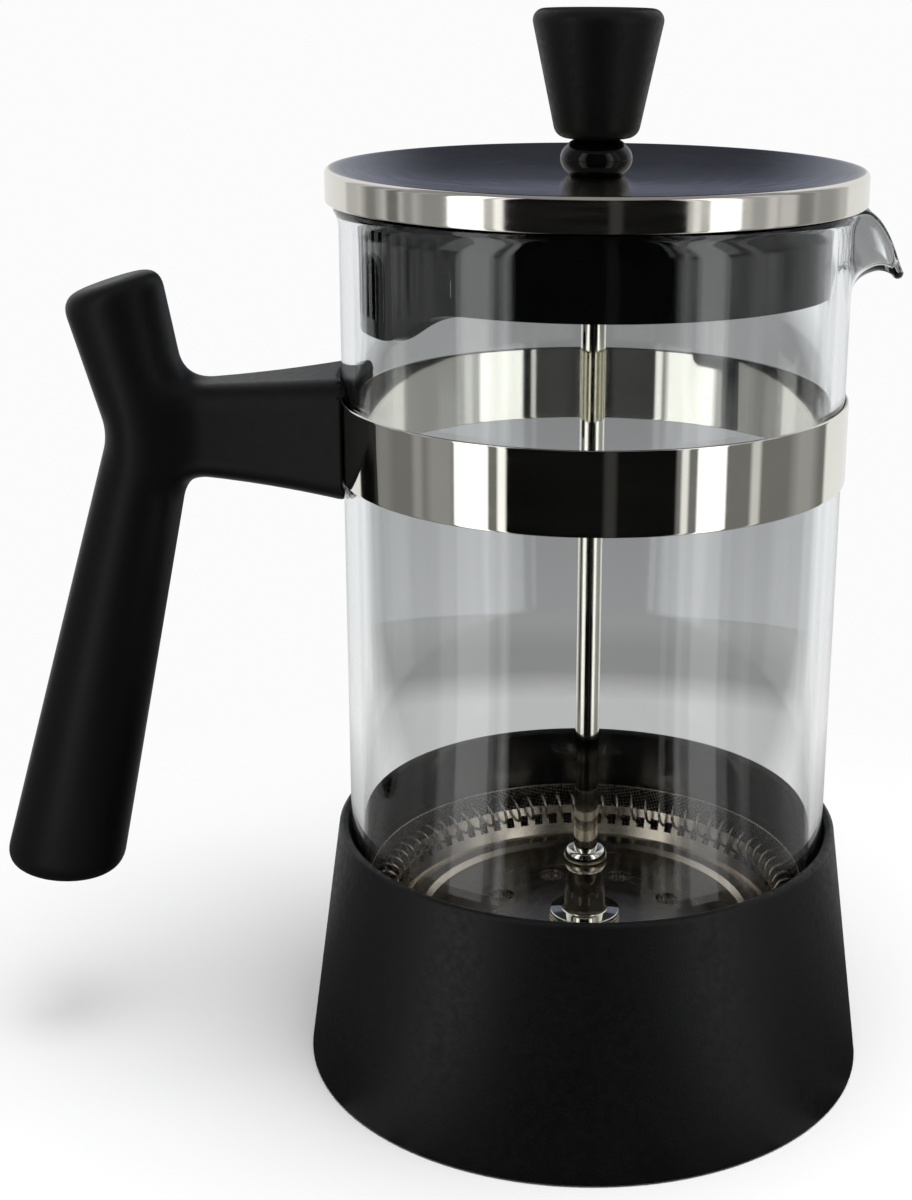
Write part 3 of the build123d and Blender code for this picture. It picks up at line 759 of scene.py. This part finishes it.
def make_coil():
    """One wire wound through the plate's holes as a continuous ring of slanted turns."""
    count = TURNS * TURN_STEPS
    t = np.arange(count) / count * TAU
    a = -t * TURNS
    r = COIL_R + COIL_MINOR_R * np.cos(a)
    path = np.stack((r * np.cos(t), r * np.sin(t), COIL_Z + COIL_MINOR_R * np.sin(a)), 1)
    forward = unit(np.roll(path, -1, 0) - np.roll(path, 1, 0))
    centre = np.stack((COIL_R * np.cos(t), COIL_R * np.sin(t), np.full_like(t, COIL_Z)), 1)
    out = unit(path - centre)
    across = unit(np.cross(forward, out))
    around = [k / WIRE_SIDES * TAU for k in range(WIRE_SIDES)]
    rows = [path + WIRE_R * (out * math.cos(b) + across * math.sin(b)) for b in around]
    verts = np.stack(rows, 1).reshape(-1, 3)
    faces = grid_faces(count, WIRE_SIDES, wrap_rows=True)
    return build("coil_wire", verts, faces, "plunger", FILTER_STEEL, ["coil_spring"],
                 sharp=180)


def mesh_line():
    """Middle of the woven disc from its centre out to its rim, as radius and height."""
    middle = mesh_low.z + MESH_T / 2
    bend_r = MESH_RIM_R - MESH_T / 2 - COIL_R
    points = [(0, middle), (COIL_R - FLAT_END, middle)]
    for degrees in TURN_UP_DEG:
        a = math.radians(degrees)
        points.append((COIL_R + bend_r * math.cos(a), COIL_Z + bend_r * math.sin(a)))
    points.append((COIL_R + bend_r, mesh_high.z - 0.1))
    return np.array(points)


def cloth_wire(i, swap, line, lengths):
    """One wire of the cloth, waving over and under the others and cut where the rod passes."""
    reach = lengths[-1]
    across = (i + 0.5 * swap) * WEAVE
    if abs(across) > reach - 0.3:
        return []
    half = math.sqrt(reach**2 - across**2)
    count = max(2, int(2 * half / WEAVE) * 2)
    s = np.linspace(-half, half, count + 1)
    flat = np.stack((np.full_like(s, across), s), 1)
    if swap:
        flat = flat[:, ::-1]
    distance = np.hypot(flat[:, 0], flat[:, 1])
    phase = np.cos(math.pi * (s / WEAVE + 0.5 + i))
    r = np.interp(distance, lengths, line[:, 0])
    z = np.interp(distance, lengths, line[:, 1])
    direction = flat / np.maximum(distance, 1e-6)[:, None]
    lift = phase * WEAVE_WIRE * WEAVE_WAVE * (1 if swap else -1)
    upright = np.clip((distance - (COIL_R + 1)) / 4, 0, 1)
    r = r - lift * upright
    path = np.column_stack((direction * r[:, None], z + lift * (1 - upright)))
    keep = distance > WEAVE_BORE_R
    runs = [run[keep[run]] for run in np.split(np.arange(len(s)), np.where(~keep)[0])]
    return [tube(path[run], WEAVE_WIRE, 4) for run in runs if len(run) > 2]


def make_mesh():
    """Woven wire cloth, drawn up at its edge, with a rolled rim."""
    line = mesh_line()
    lengths = np.concatenate(((0,), np.cumsum(np.linalg.norm(np.diff(line, axis=0), axis=1))))
    lines = int(lengths[-1] / WEAVE)
    parts = []
    for swap in (False, True):
        for i in range(-lines, lines + 1):
            parts += cloth_wire(i, swap, line, lengths)
    a = np.arange(240) / 240 * TAU
    rim_r = MESH_RIM_R - MESH_T / 2 - RIM_WIRE_INSET
    rim_z = mesh_high.z - RIM_WIRE_DROP
    rim = np.stack((rim_r * np.cos(a), rim_r * np.sin(a), np.full_like(a, rim_z)), 1)
    parts.append(tube(rim, RIM_WIRE_R, 8, closed=True))
    verts, faces = merged(parts)
    return build("woven_filter", verts, faces, "plunger", WIRE, ["mesh_filter"], sharp=180)


def make_hub():
    """Turned hub: wide flange, barrel that narrows upwards and a full round bead on top."""
    foot, top = hub_low.z, hub_high.z
    middle = top - HUB_BEAD_HALF_H
    bead_low = middle - HUB_BEAD_HALF_H
    outline = rounded([
        (HUB_BORE_R, foot, 0), (hub_high.x, foot, 0.15), (hub_high.x, foot + HUB_FLANGE_H, 0.3),
        (HUB_BARREL_R + 0.3, foot + 1.2, 0.4), (HUB_BARREL_R, foot + 2.4, 0), (HUB_BARREL_R, foot + 5, 0),
        (HUB_NECK_R + 0.1, bead_low - 1.6, 0), (HUB_NECK_R, bead_low, 0),
    ], 4)
    core_r = HUB_BORE_R + HUB_BEAD_CORE
    for k in range(1, BEAD_STEPS):
        a = k / BEAD_STEPS * math.pi - math.pi / 2
        outline.append((core_r + (HUB_BEAD_R - core_r) * math.cos(a), middle + HUB_BEAD_HALF_H * math.sin(a)))
    outline.append((HUB_BORE_R, top))
    verts, faces = lathe(outline, 128)
    return build("hub_turned", verts, faces, "plunger", STEEL, ["filter_hub"])


make_coil()
make_mesh()
make_hub()

# --- studio ------------------------------------------------------------------------

STUDIO_R = 0.30
STUDIO_H = 0.50
STUDIO_LOW = 0.0005
STUDIO_COLUMNS = 180
# What the beaker's edges refract into view: white beyond these angles from straight behind
SURROUND = 1.0
SURROUND_DEG = (21.0, 28.0)
# The floor through the glass: its tone near the press, a band of painted shadow where the table's edge meets
# the backdrop, and its tone past FLOOR_END_R
TABLE_TONE = 0.56
TABLE_EDGE_SHADOW_TONE = 0.29
TABLE_EDGE_SHADOW_R = (0.213, 0.240)
FLOOR_END_TONE = 0.34
FLOOR_END_R = (0.262, 0.292)
WHITE = 1.7
# Panels round the press: azimuth from the front, half width, brightness, softness of the edges.
# Angles are in degrees and grow towards the spout's side.
PANELS = {
    "left glow": (-64.0, 6.5, 0.29, 5.0),
    "left far glow": (-98.0, 5.0, 0.23, 6.0),
    "left strip": (-36.0, 1.8, 1.2, 1.2),
    "left box": (-49.5, 7.6, WHITE, 1.2),
    "left bounce": (-76.0, 2.6, 0.30, 3.0),
    "right strip": (37.6, 1.5, 0.9, 1.2),
    "right box": (49.4, 6.4, WHITE, 1.2),
    "right bounce": (70.5, 2.4, 0.62, 2.0),
    "right far glow": (101.0, 8.0, 0.33, 8.0),
    "far left": (-139.0, 21.0, 0.85, 3.0),
    "far right": (139.0, 21.0, 0.85, 3.0),
    "camera": (7.5, 2.4, 0.035, 2.0),
}
# Further panels above HIGH_Z, which the lid's rim mirrors: azimuth, half width, brightness
HIGH_PANELS = {
    "left pillar": (-62.5, 2.0, 0.13),
    "left curtain": (-73.5, 5.0, 0.50),
    "left gap": (-84.5, 3.5, 0.17),
    "left window": (-101.0, 7.0, 0.60),
    "right wall": (64.0, 3.5, 0.38),
    "right gap": (71.0, 2.2, 0.20),
    "right curtain": (78.0, 3.5, 0.58),
    "right pillar": (88.0, 5.0, 0.23),
    "right window": (104.0, 6.0, 0.48),
}
HIGH_Z = 0.12
HIGH_FADE = 0.01
HIGH_SOFT_DEG = 2.5
# As polished metal behind the glass sees the studio below BEHIND_Z: wider boxes
BEHIND_PANELS = {
    "right gap": (36.0, 2.6, 0.003, 1.2),
    "right strip": (32.4, 1.3, 0.7, 1.0),
    "right box": (51.0, 12.5, 1.35, 2.0),
    "left box": (-54.7, 14.0, 1.35, 3.0),
}
BEHIND_Z = 0.105
BEHIND_FADE = 0.01
BEHIND_SIDE_TONE = 0.34
# A dark flag in front of the press, this far to either side
FLAG_DEG = 34.0
FLAG_TONE = 0.003
# The wall between the panels, below and above HIGH_Z
SIDE_TONE = 0.175
HIGH_SIDE_TONE = 0.54
# Straight behind the press, as the lid's top mirrors it
BACK_TONE = 0.03
BACK_LOW_TONE = 0.17
BACK_LOW_Z = (0.2085, 0.2155)
BACK_FADE_Z = (0.10, 0.17)
BACK_DEG = (9.0, 18.3)
BACK_TINT = (0.88, 0.97, 1.30)
STUDIO_TINT = (0.985, 1.0, 1.01)
SOFT_DEG = 1.2
# The grey backdrop that the glass shows: at the floor and at BACKDROP_Z, darker straight behind
BACKDROP_TONES = (0.43, 0.28)
BACKDROP_Z = 0.14
BACKDROP_MIDDLE = 0.78
BACKDROP_MIDDLE_DEG = (4.0, 7.5)
# Higher up, the white surround starts this much nearer to straight behind
SURROUND_GAIN_DEG = 8.0
SURROUND_GAIN_Z = (0.09, 0.125)
# The floor fades into a plain white glow away from the press
FAR_FLOOR = 0.97
FAR_R = (0.06, 0.22)
# The press darkens the floor close to it, as its own base sees it
NEAR_R = (0.07, 0.22)
NEAR_SHARE = 0.15
FLOOR_R = 8.0
# The world's even light on the press
AMBIENT = 0.27


def band_pass(n, angle, centre, half, soft):
    """1 within half a width of an azimuth, 0 outside, with a soft edge."""
    away = n.math("ABSOLUTE", n.math("SUBTRACT", angle, centre))
    return n.ramp(away, half - soft / 2, half + soft / 2, 1.0, 0.0)


def blend(n, a, b, weight):
    """From a to b by weight."""
    kept = n.math("MULTIPLY", a, n.math("SUBTRACT", 1.0, weight))
    return n.math("ADD", kept, n.math("MULTIPLY", weight, b))


def off_back(n, x, y):
    """Degrees away from the direction straight behind the press."""
    return n.math("MULTIPLY", n.math("ABSOLUTE", n.math("ARCTAN2", x, y)), 180 / math.pi)


def passed_glass(n):
    """1 on a path that has gone through the glass, 0 before it does."""
    return n.math("GREATER_THAN", n.add("ShaderNodeLightPath").outputs["Transmission Depth"], 0.5)


def studio_tone(n, position):
    """Brightness of the studio as polished surfaces see it, and how far a point lies in its dark back."""
    x, y, z = n.split(position)
    angle = n.math("MULTIPLY", n.math("ARCTAN2", x, n.math("MULTIPLY", y, -1.0)), 180 / math.pi)
    high_fade = (HIGH_Z - HIGH_FADE, HIGH_Z + HIGH_FADE)
    high = n.ramp(z, *high_fade, 0.0, 1.0)
    behind = n.math("MULTIPLY", passed_glass(n), n.ramp(z, BEHIND_Z - BEHIND_FADE, BEHIND_Z, 1.0, 0.0))
    side = blend(n, n.ramp(z, *high_fade, SIDE_TONE, HIGH_SIDE_TONE), BEHIND_SIDE_TONE, behind)
    turned_back = n.math("SUBTRACT", 180.0, n.math("ABSOLUTE", angle))
    sideways = n.ramp(turned_back, *BACK_DEG, 0.0, 1.0)
    back = n.math("SUBTRACT", 1.0, n.math("MULTIPLY", sideways, sideways))
    back = n.math("MULTIPLY", back, n.ramp(z, *BACK_FADE_Z, 0.0, 1.0))
    tone = blend(n, side, n.ramp(z, *BACK_LOW_Z, BACK_LOW_TONE, BACK_TONE), back)
    for centre, half, bright in HIGH_PANELS.values():
        panel = band_pass(n, angle, centre, half, HIGH_SOFT_DEG)
        tone = blend(n, tone, bright, n.math("MULTIPLY", high, panel))
    tone = blend(n, tone, FLAG_TONE, band_pass(n, angle, 0.0, FLAG_DEG, SOFT_DEG))
    for centre, half, bright, soft in PANELS.values():
        tone = blend(n, tone, bright, band_pass(n, angle, centre, half, soft))
    for centre, half, bright, soft in BEHIND_PANELS.values():
        panel = band_pass(n, angle, centre, half, soft)
        tone = blend(n, tone, bright, n.math("MULTIPLY", behind, panel))
    return tone, back


def seen_by_reflection(n):
    """1 on a path that a surface of the object has reflected, 0 on a straight or refracted view."""
    path = n.add("ShaderNodeLightPath")
    deep = n.math("GREATER_THAN", path.outputs["Glossy Depth"], 0.5)
    return n.math("MAXIMUM", deep, path.outputs["Is Reflection Ray"])


def studio_material():
    """Softboxes and flags for reflections, and a plain grey backdrop behind the glass."""
    mat = bpy.data.materials.new("studio_walls")
    mat.use_nodes = True
    mat.node_tree.nodes.clear()
    n = Nodes(mat.node_tree)
    position = n.place()
    tone, back = studio_tone(n, position)
    x, y, z = n.split(position)
    away = off_back(n, x, y)
    wide = n.math("ADD", away, n.ramp(z, *SURROUND_GAIN_Z, 0.0, SURROUND_GAIN_DEG))
    middle = n.ramp(away, *BACKDROP_MIDDLE_DEG, BACKDROP_MIDDLE, 1.0)
    shade = n.math("MULTIPLY", middle, n.ramp(z, 0.0, BACKDROP_Z, *BACKDROP_TONES))
    backdrop = blend(n, shade, SURROUND, n.ramp(wide, *SURROUND_DEG, 0.0, 1.0))
    glow = n.add("ShaderNodeEmission")
    mirrored = seen_by_reflection(n)
    n.link(n.switch(mirrored, backdrop, tone), glow.inputs["Strength"])
    n.link(n.tint(n.math("MULTIPLY", back, mirrored), STUDIO_TINT, BACK_TINT), glow.inputs["Color"])
    out = n.add("ShaderNodeOutputMaterial")
    n.link(glow.outputs[0], out.inputs["Surface"])
    return mat


def stage(name, verts, faces, look):
    """A part of the studio, in metres, which isn't a part of the press."""
    mesh = bpy.data.meshes.new(name)
    mesh.from_pydata(verts, [], faces)
    mesh.materials.append(look)
    obj = bpy.data.objects.new(name, mesh)
    bpy.context.scene.collection.objects.link(obj)
    return obj


def make_studio():
    """Round wall of light that only reflections and refractions see."""
    verts = []
    for z in (STUDIO_LOW, STUDIO_H):
        for i in range(STUDIO_COLUMNS):
            a = i / STUDIO_COLUMNS * TAU
            verts.append((STUDIO_R * math.cos(a), STUDIO_R * math.sin(a), z))
    walls = stage("studio_walls", verts, grid_faces(2, STUDIO_COLUMNS), studio_material())
    walls.visible_camera = False
    walls.visible_diffuse = False
    walls.visible_shadow = False
    return walls


def floor_glow(n, position, radius):
    """The floor as the glass and the polished surfaces show it."""
    x, y, _ = n.split(position)
    tone = n.math("MULTIPLY", studio_tone(n, position)[0], n.ramp(radius, *NEAR_R, NEAR_SHARE, 1.0))
    # Painted shadow: the floor seen through the glass turns darker in a band where the table's edge meets the
    # backdrop
    table = n.ramp(radius, *TABLE_EDGE_SHADOW_R, TABLE_TONE, TABLE_EDGE_SHADOW_TONE)
    table = blend(n, table, FLOOR_END_TONE, n.ramp(radius, *FLOOR_END_R, 0.0, 1.0))
    through = blend(n, table, SURROUND, n.ramp(off_back(n, x, y), *SURROUND_DEG, 0.0, 1.0))
    glow = n.add("ShaderNodeEmission")
    n.link(n.switch(seen_by_reflection(n), through, tone), glow.inputs["Strength"])
    return glow.outputs[0]


def mix_shaders(n, factor, a, b):
    """The shader a where the factor is 0 and b where it is 1."""
    node = n.add("ShaderNodeMixShader")
    for socket, value in zip(node.inputs, (factor, a, b)):
        n.link(value, socket)
    return node.outputs[0]


def floor_material():
    """Pale matt floor that fades to white; through the glass it is the grey of the backdrop."""
    mat = bpy.data.materials.new("pale_floor")
    mat.use_nodes = True
    n = Nodes(mat.node_tree)
    shader = mat.node_tree.nodes["Principled BSDF"]
    position = n.place()
    shader.inputs["Roughness"].default_value = 0.7
    shader.inputs["Specular IOR Level"].default_value = 0.2
    n.link(n.tint(n.noise(position, 3.0), (0.88, 0.88, 0.88), (0.9, 0.9, 0.9)), shader.inputs["Base Color"])
    x, y, _ = n.split(position)
    radius = radius_of(n, x, y)
    far = n.add("ShaderNodeEmission")
    far.inputs["Strength"].default_value = FAR_FLOOR
    plain = mix_shaders(n, n.ramp(radius, *FAR_R, 0.0, 1.0), shader.outputs[0], far.outputs[0])
    path = n.add("ShaderNodeLightPath")
    mirrored = n.math("GREATER_THAN", path.outputs["Glossy Depth"], 0.5)
    replaced = n.math("MAXIMUM", passed_glass(n), mirrored)
    straight = n.math("SUBTRACT", 1.0, n.math("GREATER_THAN", path.outputs["Diffuse Depth"], 0.5))
    shown = mix_shaders(n, n.math("MULTIPLY", replaced, straight), plain, floor_glow(n, position, radius))
    n.link(shown, mat.node_tree.nodes["Material Output"].inputs["Surface"])
    return mat


def make_floor():
    """Wide round floor under the press."""
    angles = [i / 64 * TAU for i in range(64)]
    verts = [(FLOOR_R * math.cos(a), FLOOR_R * math.sin(a), 0) for a in angles]
    return stage("floor", verts, [tuple(range(len(verts)))], floor_material())


def make_world():
    """White where the camera sees it, and a dim even light otherwise."""
    world = bpy.data.worlds.new("studio")
    bpy.context.scene.world = world
    world.use_nodes = True
    world.node_tree.nodes.clear()
    n = Nodes(world.node_tree)
    path = n.add("ShaderNodeLightPath")
    back = n.add("ShaderNodeBackground")
    n.link(n.switch(path.outputs["Is Camera Ray"], AMBIENT, FAR_FLOOR), back.inputs["Strength"])
    back.inputs["Color"].default_value = (1, 1, 1, 1)
    out = n.add("ShaderNodeOutputWorld")
    n.link(back.outputs[0], out.inputs["Surface"])


# Overhead light
LIGHT_PLACE = (0.2, -0.3, 1.7)
LIGHT_TARGET = (0, 0, 0.1)
LIGHT_SIZE = 1.4
LIGHT_POWER = 34.0

# Camera
LENS = 60.77
SENSOR = 36.0
SHIFT_X = -0.0533
PLACE = (0.00003, -0.399465, 0.228321)
PITCH = 0.3093
YAW = -0.036
ROLL = 0.005


def make_light():
    """One wide soft light over the press, which nothing mirrors."""
    data = bpy.data.lights.new("overhead", "AREA")
    data.shape = "DISK"
    data.size = LIGHT_SIZE
    data.energy = LIGHT_POWER
    light = bpy.data.objects.new("overhead", data)
    light.location = LIGHT_PLACE
    light.rotation_euler = (Vector(LIGHT_TARGET) - Vector(LIGHT_PLACE)).to_track_quat("-Z", "Y").to_euler()
    light.visible_glossy = False
    light.visible_transmission = False
    bpy.context.scene.collection.objects.link(light)


def make_camera():
    """Camera in front of the press, about level with its knob and tipped down."""
    data = bpy.data.cameras.new("camera")
    data.lens = LENS
    data.sensor_width = SENSOR
    data.shift_x = SHIFT_X
    data.clip_start = 0.01
    data.clip_end = 50.0
    camera = bpy.data.objects.new("camera", data)
    level = Vector((math.sin(YAW), math.cos(YAW), 0))
    forward = level * math.cos(PITCH) - Vector((0, 0, math.sin(PITCH)))
    right = Vector((math.cos(YAW), -math.sin(YAW), 0))
    up = right.cross(forward)
    x_axis = right * math.cos(ROLL) + up * math.sin(ROLL)
    y_axis = up * math.cos(ROLL) - right * math.sin(ROLL)
    camera.matrix_world = Matrix((
        (x_axis.x, y_axis.x, -forward.x, PLACE[0]),
        (x_axis.y, y_axis.y, -forward.y, PLACE[1]),
        (x_axis.z, y_axis.z, -forward.z, PLACE[2]),
        (0, 0, 0, 1),
    ))
    bpy.context.scene.collection.objects.link(camera)
    bpy.context.scene.camera = camera


make_studio()
make_floor()
make_world()
make_light()
make_camera()
bpy.context.scene.view_settings.view_transform = "Standard"
